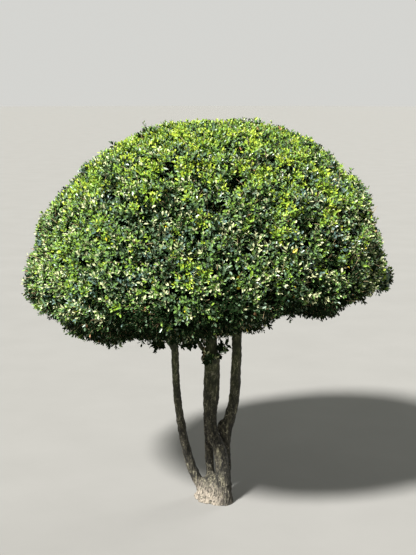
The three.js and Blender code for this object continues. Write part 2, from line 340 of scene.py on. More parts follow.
# Clumps of one kind, as wide as this, and how many of a tuft's shoots agree with each other.
CLUMP_WIDTH = 0.11
CLUMP_STRENGTH = 0.8
CLUMP_WAVES = 14
CLUMP_RATES = (0.6, 1.5)
TUFT_AGREES = 0.65

# Faces that look down and the low rim, apart from its lit ends, have mostly shade sprays, and the low
# sprays on the stems have few. The near-black shade sprays are painted shade under the crown and on its rim.
SHADE_UNDER = 9.0
SHADED_TILTS = (-0.35, 0.05)
SHADE_LOW = 22.0
SHADED_HEIGHTS = (0.82, 0.90)
SHADED_FROM = (0.60, 0.66)
SHADED_ACROSS = (-0.46, -0.34, 0.54, 0.62)
SHADED_SHARES = (0.06, 1, 1, 0.15)
LOW_SPRAY_SHADE = 0.1


def add_node(tree, kind, inputs=None, **settings):
    """Adds a node with its settings. An input is a value, a socket to link, or a node, whose first output in
    use is linked."""
    node = tree.nodes.new(kind)
    for name, value in settings.items():
        setattr(node, name, value)
    for key, value in (inputs or {}).items():
        named = [socket for socket in node.inputs if socket.name == key and socket.enabled]
        socket = named[0] if named else node.inputs[key]
        if isinstance(value, bpy.types.Node):
            value = next(output for output in value.outputs if output.enabled)
        if isinstance(value, bpy.types.NodeSocket):
            tree.links.new(value, socket)
        else:
            socket.default_value = value
    return node


def new_tree(name, sockets):
    """A Geometry Nodes tree with a mesh in and out and the named inputs. Returns it and its input node."""
    tree = bpy.data.node_groups.new(name, "GeometryNodeTree")
    tree.interface.new_socket("Geometry", in_out="INPUT", socket_type="NodeSocketGeometry")
    tree.interface.new_socket("Geometry", in_out="OUTPUT", socket_type="NodeSocketGeometry")
    for label, kind in sockets.items():
        tree.interface.new_socket(label, in_out="INPUT", socket_type="NodeSocket" + kind)
    return tree, add_node(tree, "NodeGroupInput")


def end_tree(tree, geometry, material):
    """Realizes the instances, gives the mesh its material and hands it out."""
    real = add_node(tree, "GeometryNodeRealizeInstances", {"Geometry": geometry})
    painted = add_node(tree, "GeometryNodeSetMaterial", {"Geometry": real, "Material": material})
    add_node(tree, "NodeGroupOutput", {"Geometry": painted})


def new_object(name, mesh):
    made = bpy.data.objects.new(name, mesh)
    bpy.context.scene.collection.objects.link(made)
    return made


def result_of(source, name):
    """What an object's modifiers make, as a plain mesh object in its place."""
    evaluated = source.evaluated_get(bpy.context.evaluated_depsgraph_get())
    mesh = bpy.data.meshes.new_from_object(evaluated)
    bpy.data.objects.remove(source)
    return new_object(name, mesh)


def run_tree(tree, source, name, values):
    """The plain mesh object that a tree makes from a source object, with its inputs set by identifier."""
    modifier = source.modifiers.new(tree.name, "NODES")
    modifier.node_group = tree
    for item in tree.interface.items_tree:
        if item.in_out == "INPUT" and item.name in values:
            modifier[item.identifier] = values[item.name]
    return result_of(source, name)


def mesh_from(name, points, edges=(), **attributes):
    """A mesh object of points and edges, with a number or a vector at each point for every attribute."""
    mesh = bpy.data.meshes.new(name)
    mesh.vertices.add(len(points))
    mesh.vertices.foreach_set("co", np.asarray(points, np.float32).ravel())
    mesh.edges.add(len(edges))
    mesh.edges.foreach_set("vertices", np.asarray(edges, np.int32).ravel())
    for label, values in attributes.items():
        values = np.asarray(values, np.float32)
        vector = values.ndim == 2
        layer = mesh.attributes.new(label, "FLOAT_VECTOR" if vector else "FLOAT", "POINT")
        layer.data.foreach_set("vector" if vector else "value", values.ravel())
    mesh.update()
    return new_object(name, mesh)


def merged_copy(names, swell=0.0):
    """Merged copies of frame nodes in one mesh, moved outwards by the swell."""
    joined = bmesh.new()
    for name in names:
        joined.from_mesh(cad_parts[name].data)
    bmesh.ops.remove_doubles(joined, verts=joined.verts, dist=WELD)
    joined.normal_update()
    for corner in joined.verts:
        corner.co += corner.normal * swell
    mesh = bpy.data.meshes.new("merged")
    joined.to_mesh(mesh)
    joined.free()
    return mesh


def points_of(mesh):
    points = np.empty(len(mesh.vertices) * 3, np.float32)
    mesh.vertices.foreach_get("co", points)
    return points.reshape(-1, 3).astype(float)


def unit(vectors):
    lengths = np.linalg.norm(vectors, axis=-1, keepdims=True)
    return vectors / np.maximum(lengths, LEAST_LENGTH)


def across(axes):
    """Two unit vectors square to each axis and to each other."""
    helper = np.where(np.abs(axes[:, 2:3]) > UPRIGHT, (1.0, 0.0, 0.0), UP)
    first = unit(np.cross(axes, helper))
    return first, np.cross(axes, first)


# Materials

def new_material(name):
    material = bpy.data.materials.new(name)
    material.use_nodes = True
    material.node_tree.nodes.clear()
    return material, material.node_tree


def end_material(tree, inputs):
    shader = add_node(tree, "ShaderNodeBsdfPrincipled", inputs)
    add_node(tree, "ShaderNodeOutputMaterial", {"Surface": shader})


def bark_material():
    """Old bark of an evergreen shrub, grown and weathered: dark fissures between grey-brown ridges with
    pale specks, an olive film of algae in the damp shade under the crown, bleached and damp blotches,
    painted shade on the side away from the key lamp, and pale dry fibres at the foot."""
    material, tree = new_material("weathered_bark")
    coordinates = add_node(tree, "ShaderNodeTexCoord")
    place = coordinates.outputs["Object"]
    height = add_node(tree, "ShaderNodeSeparateXYZ", {"Vector": place}).outputs["Z"]
    blotches_at = add_node(tree, "ShaderNodeMapping", {"Vector": place, "Scale": BLOTCH_SQUEEZE})
    blotches = add_node(tree, "ShaderNodeTexNoise", {
        "Vector": blotches_at, "Scale": 1 / BLOTCH_SIZE, "Detail": 6.0, "Roughness": 0.65})
    ridges_at = add_node(tree, "ShaderNodeMapping", {"Vector": place, "Scale": RIDGE_SQUEEZE})
    ridges = add_node(tree, "ShaderNodeTexNoise", {
        "Vector": ridges_at, "Scale": 1 / RIDGE_SIZE, "Detail": 7.0, "Roughness": 0.7, "Distortion": 0.3})
    shade = add_node(tree, "ShaderNodeValToRGB", {"Fac": ridges})
    stops = shade.color_ramp.elements
    for spot, _ in BARK_TONES[1:-1]:
        stops.new(spot)
    for stop, (spot, colour) in zip(stops, BARK_TONES):
        stop.position = spot
        stop.color = linear(colour)
    specks = add_node(tree, "ShaderNodeTexNoise", {
        "Vector": place, "Scale": 1 / SPECK_SIZE, "Detail": 2.0, "Distortion": 1.5})
    speck = add_node(tree, "ShaderNodeMapRange", {
        "Value": specks, "From Min": 0.58, "From Max": 0.68, "To Max": 0.75})
    specked = add_node(tree, "ShaderNodeMix", {
        "Factor": speck, "A": shade, "B": linear("#8a8472")}, data_type="RGBA")
    damp = add_node(tree, "ShaderNodeMapRange", {
        "Value": height, "From Min": ALGAE_HEIGHTS[0], "From Max": ALGAE_HEIGHTS[1], "To Max": 1.0})
    film = add_node(tree, "ShaderNodeMath", {0: damp, 1: blotches}, operation="MULTIPLY", use_clamp=True)
    filmed = add_node(tree, "ShaderNodeMix", {
        "Factor": film, "A": specked, "B": linear("#3a4816")}, data_type="RGBA")
    tone = add_node(tree, "ShaderNodeMapRange", {
        "Value": blotches, "From Min": 0.38, "From Max": 0.59, "To Min": 1.8, "To Max": 0.5})
    blotched = add_node(tree, "ShaderNodeVectorMath", {0: filmed, "Scale": tone}, operation="SCALE")
    # Painted shade: the side of the stems that faces +X, away from the key lamp, is darkened in the colour.
    facing = add_node(tree, "ShaderNodeSeparateXYZ", {"Vector": coordinates.outputs["Normal"]}).outputs["X"]
    away = add_node(tree, "ShaderNodeMapRange", {
        "Value": facing, "From Min": 0.15, "From Max": 0.85, "To Max": 0.7})
    painted_side_shade = add_node(tree, "ShaderNodeMix", {
        "Factor": away, "A": blotched, "B": linear("#16150f")}, data_type="RGBA")
    low = add_node(tree, "ShaderNodeMapRange", {
        "Value": height, "From Min": DUST_HEIGHTS[0], "From Max": DUST_HEIGHTS[1]})
    fibres_at = add_node(tree, "ShaderNodeMapping", {"Vector": place, "Scale": FIBRE_SQUEEZE})
    fibres = add_node(tree, "ShaderNodeTexNoise", {
        "Vector": fibres_at, "Scale": 1 / FIBRE_SIZE, "Detail": 5.0, "Distortion": 1.0})
    strands = add_node(tree, "ShaderNodeMapRange", {
        "Value": fibres, "From Min": 0.40, "From Max": 0.57, "To Min": 0.05})
    # The pale dust is full on the left of the foot and thins out towards the right.
    across_at = add_node(tree, "ShaderNodeSeparateXYZ", {"Vector": place}).outputs["X"]
    dust_leftwards = add_node(tree, "ShaderNodeMapRange", {
        "Value": across_at, "From Min": DUST_ACROSS[0], "From Max": DUST_ACROSS[1],
        "To Min": 0.15})
    dry = add_node(tree, "ShaderNodeMath", {0: low, 1: strands}, operation="MULTIPLY")
    dust = add_node(tree, "ShaderNodeMath", {0: dry, 1: dust_leftwards}, operation="MULTIPLY", use_clamp=True)
    dusty = add_node(tree, "ShaderNodeMix", {
        "Factor": dust, "A": painted_side_shade, "B": linear("#958a7b")}, data_type="RGBA")
    grain = add_node(tree, "ShaderNodeTexNoise", {
        "Vector": fibres_at, "Scale": 1 / GRAIN_SIZE, "Detail": 6.0, "Roughness": 0.65})
    fissured = add_node(tree, "ShaderNodeBump", {"Height": ridges, "Strength": 1.0, "Distance": RIDGE_DEPTH})
    bump = add_node(tree, "ShaderNodeBump", {
        "Height": grain, "Strength": 1.0, "Distance": GRAIN_DEPTH, "Normal": fissured})
    end_material(tree, {"Base Color": dusty, "Normal": bump, "Roughness": 0.88})
    return material


def twig_material():
    """Young twig bark, smooth and tan, which shows as pale lines in the dark gaps between the leaves."""
    material, tree = new_material("young_twig_bark")
    place = add_node(tree, "ShaderNodeTexCoord").outputs["Object"]
    mottle = add_node(tree, "ShaderNodeTexNoise", {
        "Vector": place, "Scale": 1 / TWIG_MOTTLE_SIZE, "Detail": 2.0})
    colour = add_node(tree, "ShaderNodeMix", {
        "Factor": mottle, "A": linear("#5f5038"), "B": linear("#b09a70")}, data_type="RGBA")
    end_material(tree, {"Base Color": colour, "Roughness": 0.7})
    return material


def leaf_material(kind):
    """Living leaves with a waxy skin, grown and clipped, in one plain colour for the sprays of one age: a
    soft sheen on the leaves that face the light, and a clearer one on the mature and bluish ones. The cream
    colour is a painted glint, and the shade colour painted shade."""
    colour, roughness, gloss = LEAF_KINDS[kind]
    material, tree = new_material(kind + "_leaf")
    end_material(tree, {"Base Color": linear(colour), "Roughness": roughness, "IOR": 1.45,
                        "Specular IOR Level": gloss})
    return material


def floor_material():
    """Pale matt painted floor, rolled: an even tone with a faint mottle."""
    material, tree = new_material("rolled_floor_paint")
    place = add_node(tree, "ShaderNodeTexCoord").outputs["Object"]
    mottle = add_node(tree, "ShaderNodeTexNoise", {
        "Vector": place, "Scale": 1 / FLOOR_MOTTLE_SIZE, "Detail": 3.0})
    colour = add_node(tree, "ShaderNodeMix", {
        "Factor": mottle, "A": linear("#7e7c77"), "B": linear("#86847f")}, data_type="RGBA")
    end_material(tree, {"Base Color": colour, "Roughness": 0.9})
    return material


# Stage

def make_camera():
    data = bpy.data.cameras.new("camera")
    data.sensor_width = SENSOR_MM
    data.lens = SENSOR_MM * FOCAL_PX / LONG_SIDE_PX
    camera = new_object("camera", data)
    camera.location = CAMERA_AT
    camera.rotation_euler = (math.radians(90 - CAMERA_PITCH_DEG), 0, 0)
    bpy.context.scene.camera = camera


def make_floor():
    disc = bmesh.new()
    bmesh.ops.create_circle(disc, cap_ends=True, segments=FLOOR_SIDES, radius=FLOOR_RADIUS)
    mesh = bpy.data.meshes.new("floor")
    disc.to_mesh(mesh)
    disc.free()
    mesh.materials.append(floor_material())
    new_object("floor", mesh)


def make_sun(name, towards, strength, spread_deg):
    """A lamp far away, with soft shadows. towards is the way its light goes."""
    data = bpy.data.lights.new(name, "SUN")
    data.energy = strength
    data.angle = math.radians(spread_deg)
    lamp = new_object(name, data)
    lamp.rotation_euler = Vector(towards).to_track_quat("-Z", "Y").to_euler()


def light_studio():
    """A key lamp from the upper left in front, a weak soft one from behind, and a pale surround."""
    make_sun("key_light", **KEY_LAMP)
    make_sun("back_light", **BACK_LAMP)
    world = bpy.data.worlds.new("studio")
    world.use_nodes = True
    tree = world.node_tree
    tree.nodes.clear()
    way = add_node(tree, "ShaderNodeTexCoord").outputs["Generated"]
    rise = add_node(tree, "ShaderNodeSeparateXYZ", {"Vector": way}).outputs["Z"]
    dim = add_node(tree, "ShaderNodeMapRange", {
        "Value": rise, "From Min": SURROUND_RISE[0], "From Max": SURROUND_RISE[1]})
    tone = add_node(tree, "ShaderNodeMix", {
        "Factor": dim, "A": linear("#e2e2de"), "B": linear("#878d86")}, data_type="RGBA")
    shell = add_node(tree, "ShaderNodeBackground", {"Color": tone, "Strength": SURROUND_STRENGTH})
    add_node(tree, "ShaderNodeOutputWorld", {"Surface": shell})
    bpy.context.scene.world = world
    bpy.context.scene.view_settings.view_transform = "Standard"


# Wood

def relief_tree():
    """Rounds the skin near the ground and moves its points along their normals, by three noises that are
    stretched up the limb: furrows, rougher towards the ground, lumps, and flutes, only at the foot."""
    tree, given = new_tree("bark_relief", {
        **{label: "Float" for label in (*FURROW, *LUMP, *FLUTE, "Foot height", "Foot rougher", "Foot edge")},
        "Foot rounding": "Int", "Bark": "Material"})
    place = add_node(tree, "GeometryNodeInputPosition")
    height = add_node(tree, "ShaderNodeSeparateXYZ", {"Vector": place}).outputs["Z"]
    foot = add_node(tree, "ShaderNodeMapRange", {
        "Value": height, "From Min": given.outputs["Foot height"], "From Max": 0.0})
    above = add_node(tree, "ShaderNodeMapRange", {"Value": height, "From Max": given.outputs["Foot edge"]})
    weight = add_node(tree, "ShaderNodeMath", {0: foot, 1: above}, operation="MULTIPLY")
    rounded = add_node(tree, "GeometryNodeBlurAttribute", {
        "Value": place, "Iterations": given.outputs["Foot rounding"], "Weight": weight},
        data_type="FLOAT_VECTOR")
    base = add_node(tree, "GeometryNodeSetPosition", {
        "Geometry": given.outputs["Geometry"], "Position": rounded})
    rougher = add_node(tree, "ShaderNodeMix", {
        "Factor": foot, "A": 1.0, "B": given.outputs["Foot rougher"]}, data_type="FLOAT")
    rise = None
    for kind, share in (("Lump", 1.0), ("Furrow", rougher), ("Flute", foot)):
        width = given.outputs[kind + " width"]
        size = add_node(tree, "ShaderNodeCombineXYZ", {
            "X": width, "Y": width, "Z": given.outputs[kind + " length"]})
        noise_place = add_node(tree, "ShaderNodeVectorMath", {0: place, 1: size}, operation="DIVIDE")
        noise = add_node(tree, "ShaderNodeTexNoise", {"Vector": noise_place, "Scale": 1.0, "Detail": 2.0})
        centred = add_node(tree, "ShaderNodeMath", {0: noise, 1: 0.5}, operation="SUBTRACT")
        deep = add_node(tree, "ShaderNodeMath", {
            0: centred, 1: given.outputs[kind + " depth"]}, operation="MULTIPLY")
        rise = add_node(tree, "ShaderNodeMath", {0: deep, 1: share, 2: rise or 0.0}, operation="MULTIPLY_ADD")
    normal = add_node(tree, "GeometryNodeInputNormal")
    shift = add_node(tree, "ShaderNodeVectorMath", {0: normal, "Scale": rise}, operation="SCALE")
    moved = add_node(tree, "GeometryNodeSetPosition", {"Geometry": base, "Offset": shift})
    end_tree(tree, moved, given.outputs["Bark"])
    return tree


def barked(name, mesh, face, bark):
    """A mesh's solids as one closed skin of small faces, with the bark's relief."""
    solids = new_object("solids", mesh)
    skin = solids.modifiers.new("skin", "REMESH")
    skin.mode = "VOXEL"
    skin.voxel_size = face
    skin.use_smooth_shade = True
    skin_object = result_of(solids, "skin")
    piece = run_tree(relief_tree(), skin_object, name, {
        **FURROW, **LUMP, **FLUTE, "Foot height": FOOT_HEIGHT, "Foot rougher": FOOT_ROUGHER,
        "Foot rounding": FOOT_ROUNDING, "Foot edge": FOOT_EDGE, "Bark": bark})
    for corner in piece.data.vertices:
        corner.co.z = max(corner.co.z, 0.0)
    return piece


def limb_end(name):
    """A place just inside a frame limb's end in the leaves, its heading and its radius, from its highest
    points."""
    points = points_of(merged_copy([name]))
    points = points[np.argsort(-points[:, 2])]
    end = points[:RING].mean(0)
    heading = unit(end - points[2 * RING:4 * RING].mean(0))
    ring = points[:RING] - end
    radius = np.linalg.norm(ring - np.outer(ring @ heading, heading), axis=1).mean()
    return end - heading * LIMB_OVERLAP, heading, radius


def tube_tree():
    """Round limbs along the lines of a mesh, as thick at each point as its girth says."""
    tree, given = new_tree("limbs", {"Sides": "Int", "Steps": "Int", "Bark": "Material"})
    lines = add_node(tree, "GeometryNodeMeshToCurve", {"Mesh": given.outputs["Geometry"]})
    bends = add_node(tree, "GeometryNodeCurveSplineType", {"Curve": lines}, spline_type="CATMULL_ROM")
    steps = add_node(tree, "GeometryNodeSetSplineResolution", {
        "Geometry": bends, "Resolution": given.outputs["Steps"]})
    girth = add_node(tree, "GeometryNodeInputNamedAttribute", {"Name": "girth"}, data_type="FLOAT")
    ring = add_node(tree, "GeometryNodeCurvePrimitiveCircle", {
        "Resolution": given.outputs["Sides"], "Radius": 1.0})
    tube = add_node(tree, "GeometryNodeCurveToMesh", {
        "Curve": steps, "Profile Curve": ring, "Scale": girth, "Fill Caps": True})
    end_tree(tree, tube, given.outputs["Bark"])
    return tree


# Leaves

def surface_of(name):
    """A frame node's triangles, as corner points and corner normals."""
    mesh = merged_copy([name])
    mesh.calc_loop_triangles()
    corners = np.array([t.vertices for t in mesh.loop_triangles])
    normals = np.array([v.normal for v in mesh.vertices])
    return points_of(mesh)[corners], normals[corners]


def scatter(surface, count, draws):
    """Points and normals at random places, evenly over a surface."""
    corners, normals = surface
    area = np.linalg.norm(np.cross(corners[:, 1] - corners[:, 0], corners[:, 2] - corners[:, 0]), axis=1)
    chosen = draws.choice(len(corners), count, p=area / area.sum())
    root = np.sqrt(draws.random(count))
    other = draws.random(count)
    weights = np.stack((1 - root, root * (1 - other), root * other), axis=1)[:, :, None]
    return (corners[chosen] * weights).sum(1), unit((normals[chosen] * weights).sum(1))


def spread_out(points, gaps):
    """The numbers of those points, in order, that keep their gap to all kept before them."""
    cell_size = gaps.max()
    steps = [(x, y, z) for x in (-1, 0, 1) for y in (-1, 0, 1) for z in (-1, 0, 1)]
    cells = {}
    kept = []
    for number, point in enumerate(points):
        x, y, z = (int(c) for c in np.floor(point / cell_size))
        near = [other for i, j, k in steps for other in cells.get((x + i, y + j, z + k), ())]
        if near and (((points[near] - point) ** 2).sum(1) < gaps[number] ** 2).any():
            continue
        cells.setdefault((x, y, z), []).append(number)
        kept.append(number)
    return np.array(kept)


def place_tufts(draws):
    """The tufts of the crown and of the low sprays: where the shears cut each, its normal and its mass."""
    places, normals, masses = [], [], []
    for mass in (CROWN, *LOW_SPRAYS):
        surface = surface_of(mass)
        count = CROWN_TRIES if mass == CROWN else SPRAY_TRIES
        points, facing = scatter(surface, count, draws)
        if mass == CROWN:
            gaps = np.where(facing[:, 2] < FACES_DOWN, UNDER_TUFT_GAP, TUFT_GAP)
        else:
            gaps = np.full(count, LOW_TUFT_GAP)
        kept = spread_out(points, gaps)
        places.append(points[kept])
        normals.append(facing[kept])
        masses += [mass] * len(kept)
    return np.concatenate(places), np.concatenate(normals), np.array(masses)


def tuft_headings(normals):
    """Tufts turn from the crown's face towards the light, and hang a little outwards under the rim."""
    under = np.clip(-normals[:, 2:3], 0, 1)
    outwards = normals * (1, 1, 0)
    return unit(normals + UP * TUFT_RISE * (1 - under) + outwards * TUFT_HANG * under)


def cut_depths(places, small, draws):
    """How far inside the frame's face the tip of each tuft is."""
    sunken = draws.random(len(places)) < SUNKEN_SHARE
    sunk = np.where(sunken, draws.uniform(*SUNKEN_DEPTH, len(places)), 0)
    for x, z, radius in HOLLOWS:
        inside = np.hypot(places[:, 0] - x, places[:, 2] - z) < radius
        sunk = np.where(inside & (places[:, 1] < 0), HOLLOW_DEPTH, sunk)
    for x, z, radius, depth in TRIMS:
        away = np.hypot(places[:, 0] - x, places[:, 2] - z) / radius
        sunk = sunk + depth * np.exp(-away ** 2)
    lift = draws.normal(0, np.where(small, LOW_TUFT_LIFT, TUFT_LIFT))
    return np.where(small, 0, sunk) - lift + TIP_BELOW_CUT


def split(points, draws):
    """Two uneven shares of the points, cut across their longest spread."""
    spread = points - points.mean(0)
    longest = np.linalg.eigh(spread.T @ spread)[1][:, -1]
    order = np.argsort(spread @ unit(longest + draws.normal(0, FORK_TILT, 3)))
    cut = round(len(points) * draws.uniform(*FORK_SHARE))
    cut = min(max(cut, 1), len(points) - 1)
    return order[:cut], order[cut:]


def grow(start, heading, radius, targets, draws):
    """Limbs from the start to every target, by the branching rule: lists of points and their girths."""
    limbs = []
    total = len(targets)
    waiting = [(start, heading, np.arange(total), [(start, radius)])]
    while waiting:
        place, heading, members, limb = waiting.pop()
        girth = max(radius * (len(members) / total) ** GIRTH_POWER, LEAST_TWIG)
        if len(members) == 1:
            limb.append((targets[members[0]], LEAST_TWIG))
            limbs.append(limb)
            continue
        away = targets[members].mean(0) - place
        stretch = np.linalg.norm(away) * draws.uniform(*FORK_AT)
        heading = unit(unit(away) * (1 - KEEPS_HEADING) + heading * KEEPS_HEADING + draws.normal(0, GNARL, 3))
        fork = place + heading * stretch
        limb.append((fork, girth))
        shares = sorted(split(targets[members], draws), key=len)
        side_girth = max(radius * (len(shares[0]) / total) ** GIRTH_POWER, LEAST_TWIG)
        waiting.append((fork, heading, members[shares[1]], limb))
        waiting.append((fork, heading, members[shares[0]], [(fork, side_girth)]))
    return limbs


def lines_of(limbs):
    """Points, edges and girths of a list of limbs."""
    lengths = [len(limb) for limb in limbs]
    points = np.array([point for limb in limbs for point, _ in limb])
    girths = np.array([girth for limb in limbs for _, girth in limb])
    first = np.cumsum([0] + lengths[:-1])
    edges = [(a + i, a + i + 1) for a, n in zip(first, lengths) for i in range(n - 1)]
    return points, edges, girths


def noise_at(points, width, seed):
    """A smooth random number from about -1 to 1 at each point, which changes over the given width."""
    draws = np.random.default_rng(seed)
    ways = unit(draws.normal(0, 1, (CLUMP_WAVES, 3)))
    waves = ways * draws.uniform(*CLUMP_RATES, (CLUMP_WAVES, 1)) * math.pi / width
    phases = draws.uniform(0, TURN, CLUMP_WAVES)
    return np.sin(points @ waves.T + phases).sum(1) / math.sqrt(CLUMP_WAVES)


def deal_sprays(places, normals):
    """The shares of each kind of spray at each tuft."""
    low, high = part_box(CROWN)
    rise = np.clip((places[:, 2] - low.z) / (high.z - low.z), 0, 1) ** SLOPE_POWER
    shares = {}
    for number, (kind, (level, slope)) in enumerate(SHARES.items()):
        clumps = np.exp(CLUMP_STRENGTH * noise_at(places, CLUMP_WIDTH, SEED + number))
        shares[kind] = np.clip(level + slope * rise, LEAST_SHARE, None) * clumps
    for kind, x, z, radius, more in PATCHES:
        away = np.hypot(places[:, 0] - x, places[:, 2] - z) / radius
        shares[kind] += np.where(places[:, 1] < FRONT_TO, more * np.exp(-away ** 2), 0)
    # Painted shade: near-black shade sprays on the faces that look down and on the low rim.
    under = np.interp(normals[:, 2], SHADED_TILTS, (1, 0))
    low_down = np.interp(places[:, 2], SHADED_HEIGHTS, (1, 0))
    dark = np.interp(places[:, 0], SHADED_ACROSS, SHADED_SHARES)
    dark *= np.interp(places[:, 2], SHADED_FROM, (LOW_SPRAY_SHADE, 1))
    shares["shade"] += (SHADE_UNDER * under + SHADE_LOW * low_down) * dark
    table = np.stack([shares[kind] for kind in SPRAYS], axis=1)
    return table / table.sum(1, keepdims=True)


def choose(shares, draws):
    """One kind for each row of shares."""
    return (shares.cumsum(1) < draws.random((len(shares), 1))).sum(1).clip(0, shares.shape[1] - 1)


def make_shoots(tops, normals, forks, counts, crown, draws):
    """The shoots of every tuft: their tuft's number, foot and tip, and whether they are bare. The first rises
    straight from the fork, and the others leave it on their way up."""
    tuft = np.repeat(np.arange(len(tops)), counts)
    rank = np.concatenate([np.arange(n) for n in counts])
    reach = np.sqrt((rank + draws.random(len(tuft)) * (rank > 0)) / counts[tuft])
    turn = rank * GOLDEN_ANGLE + draws.uniform(0, TURN, len(tops))[tuft]
    turn += draws.normal(0, TURN_SCATTER, len(tuft))
    first, second = across(normals)
    side = first[tuft] * np.cos(turn)[:, None] + second[tuft] * np.sin(turn)[:, None]
    tips = tops[tuft] + side * (reach * TUFT_RADIUS)[:, None]
    tips -= normals[tuft] * (reach ** 2 * TUFT_DROP + draws.normal(0, SHOOT_UNEVEN, len(tuft)))[:, None]
    rise = unit(tops - forks)[tuft]
    feet = forks[tuft] + rise * np.where(rank, draws.uniform(0, SIDE_SHOOTS_FROM, len(tuft)), 0)[:, None]
    under = normals[tuft, 2] < FACES_DOWN
    stray = draws.random(len(tuft)) < np.where(under, STRAY_SHARE_UNDER, STRAY_SHARE)
    tips[stray] += unit(tips - feet)[stray] * draws.uniform(*STRAY_LENGTH, (stray.sum(), 1))
    bare = draws.random(len(tuft)) < BARE_SHARE
    for number in np.flatnonzero(bare):
        aside = tips[number] + side[number] * draws.uniform(*BARE_LENGTH)
        tips[number] = crown.find_nearest(Vector(aside))[0]
    return tuft, feet, tips, bare


def choose_kinds(sprays, age, draws):
    """A kind for each leaf, from the mix of its spray, and older towards the shoot's foot."""
    kinds = list(LEAF_KINDS)
    mixes = np.array([[mix.get(kind, 0) for kind in kinds] for mix in SPRAYS.values()])
    chosen = choose(mixes[sprays], draws)
    older = np.array([kinds.index(OLDER[kind]) for kind in kinds])
    for step in OLDER_FROM:
        chosen = np.where(age + draws.normal(0, AGE_SCATTER, len(chosen)) > step, older[chosen], chosen)
    return chosen


def make_leaves(feet, tips, light, sprays, draws):
    """Every leaf's foot, heading, upper face, size and kind. light is the way each shoot's leaves turn to."""
    axis = unit(tips - feet)
    length = np.linalg.norm(tips - feet, axis=1)
    first, second = across(axis)
    start = draws.uniform(0, TURN, len(tips))
    found = []
    for rank in range(LEAVES_PER_SHOOT):
        age = rank / (LEAVES_PER_SHOOT - 1)
        back = (rank + draws.random(len(tips))) * LEAF_GAP
        foot = tips - axis * back[:, None]
        turn = start + rank * GOLDEN_ANGLE + draws.normal(0, TURN_SCATTER, len(tips))
        side = first * np.cos(turn)[:, None] + second * np.sin(turn)[:, None]
        usual = math.radians(np.interp(age, LEAF_AGES, LEANS_BY_AGE_DEG))
        lean = draws.normal(usual, LEAN_SCATTER, (len(tips), 1))
        heading = axis * np.cos(lean) + side * np.sin(lean)
        face = axis * np.sin(lean) - side * np.cos(lean) + light * TURN_TO_LIGHT
        face += draws.normal(0, FACE_SCATTER, face.shape)
        size = np.full(len(tips), np.interp(age, LEAF_AGES, SIZES_BY_AGE))
        kinds = choose_kinds(sprays, age, draws)
        on_shoot = back < length * LEAFY_SHARE
        found.append([column[on_shoot] for column in (foot, heading, face, size, kinds)])
    return [np.concatenate(column) for column in zip(*found)]


def make_inner_leaves(limbs, draws):
    """Old leaves along slender limbs, evenly by length: their foot, heading, upper face and size."""
    ends = np.concatenate([[point for point, _ in limb[1:]] for limb in limbs])
    starts = np.concatenate([[point for point, _ in limb[:-1]] for limb in limbs])
    counts = np.round(np.linalg.norm(ends - starts, axis=1) / INNER_LEAF_EVERY).astype(int)
    ends, starts = np.repeat(ends, counts, axis=0), np.repeat(starts, counts, axis=0)
    axis = unit(ends - starts)
    feet = starts + (ends - starts) * draws.random((len(ends), 1))
    heading = unit(np.cross(axis, draws.normal(0, 1, feet.shape)) + axis * INNER_LEAN)
    face = axis + draws.normal(0, FACE_SCATTER, feet.shape)
    return feet, heading, face, np.ones(len(feet))


def leaf_blade():
    """One leaf in its own outline, of four faces, folded along its midrib, with its tip curled down."""
    half = LEAF_WIDTH / LEAF_LENGTH / 2
    fold = LEAF_FOLD / LEAF_LENGTH
    curl = LEAF_CURL / LEAF_LENGTH
    corners = [(0, 0, 0), (1, 0, -curl)]
    for along, wide, high in LEAF_EDGE:
        corners += [(along, side * half * wide, fold * high) for side in (1, -1)]
    return blade_object("leaf_blade", corners, [(0, 1, 4), (0, 4, 2), (0, 5, 1), (0, 3, 5)])


def inner_blade():
    """An old leaf, of two faces that fold along its midrib."""
    half = INNER_LEAF_WIDTH / INNER_LEAF_LENGTH / 2
    corners = [(0, 0, 0), (1, 0, 0)]
    corners += [(INNER_WIDEST, side * half, half * INNER_FOLD) for side in (1, -1)]
    return blade_object("inner_blade", corners, [(0, 1, 2), (0, 3, 1)])


def blade_object(name, corners, faces):
    mesh = bpy.data.meshes.new(name)
    mesh.from_pydata(corners, [], faces)
    return new_object(name, mesh)


def leaf_tree():
    """A leaf at every point, along its heading and with its upper side to its face direction."""
    tree, given = new_tree("leaves", {
        "Blade": "Object", "Leaf length": "Float", "Smallest": "Float", "Largest": "Float",
        "Seed": "Int", "Leaf": "Material"})
    heading = add_node(tree, "GeometryNodeInputNamedAttribute", {"Name": "heading"}, data_type="FLOAT_VECTOR")
    face = add_node(tree, "GeometryNodeInputNamedAttribute", {"Name": "face"}, data_type="FLOAT_VECTOR")
    size = add_node(tree, "GeometryNodeInputNamedAttribute", {"Name": "size"}, data_type="FLOAT")
    turned = add_node(tree, "FunctionNodeAxesToRotation", {0: heading, 1: face},
                      primary_axis="X", secondary_axis="Z")
    chance = add_node(tree, "FunctionNodeRandomValue", {
        "Min": given.outputs["Smallest"], "Max": given.outputs["Largest"],
        "Seed": given.outputs["Seed"]}, data_type="FLOAT")
    scaled = add_node(tree, "ShaderNodeMath", {
        0: size, 1: given.outputs["Leaf length"]}, operation="MULTIPLY")
    varied = add_node(tree, "ShaderNodeMath", {0: scaled, 1: chance}, operation="MULTIPLY")
    blade = add_node(tree, "GeometryNodeObjectInfo", {"Object": given.outputs["Blade"]})
    leaves = add_node(tree, "GeometryNodeInstanceOnPoints", {
        "Points": given.outputs["Geometry"], "Instance": blade.outputs["Geometry"],
        "Rotation": turned, "Scale": varied})
    end_tree(tree, leaves, given.outputs["Leaf"])
    return tree


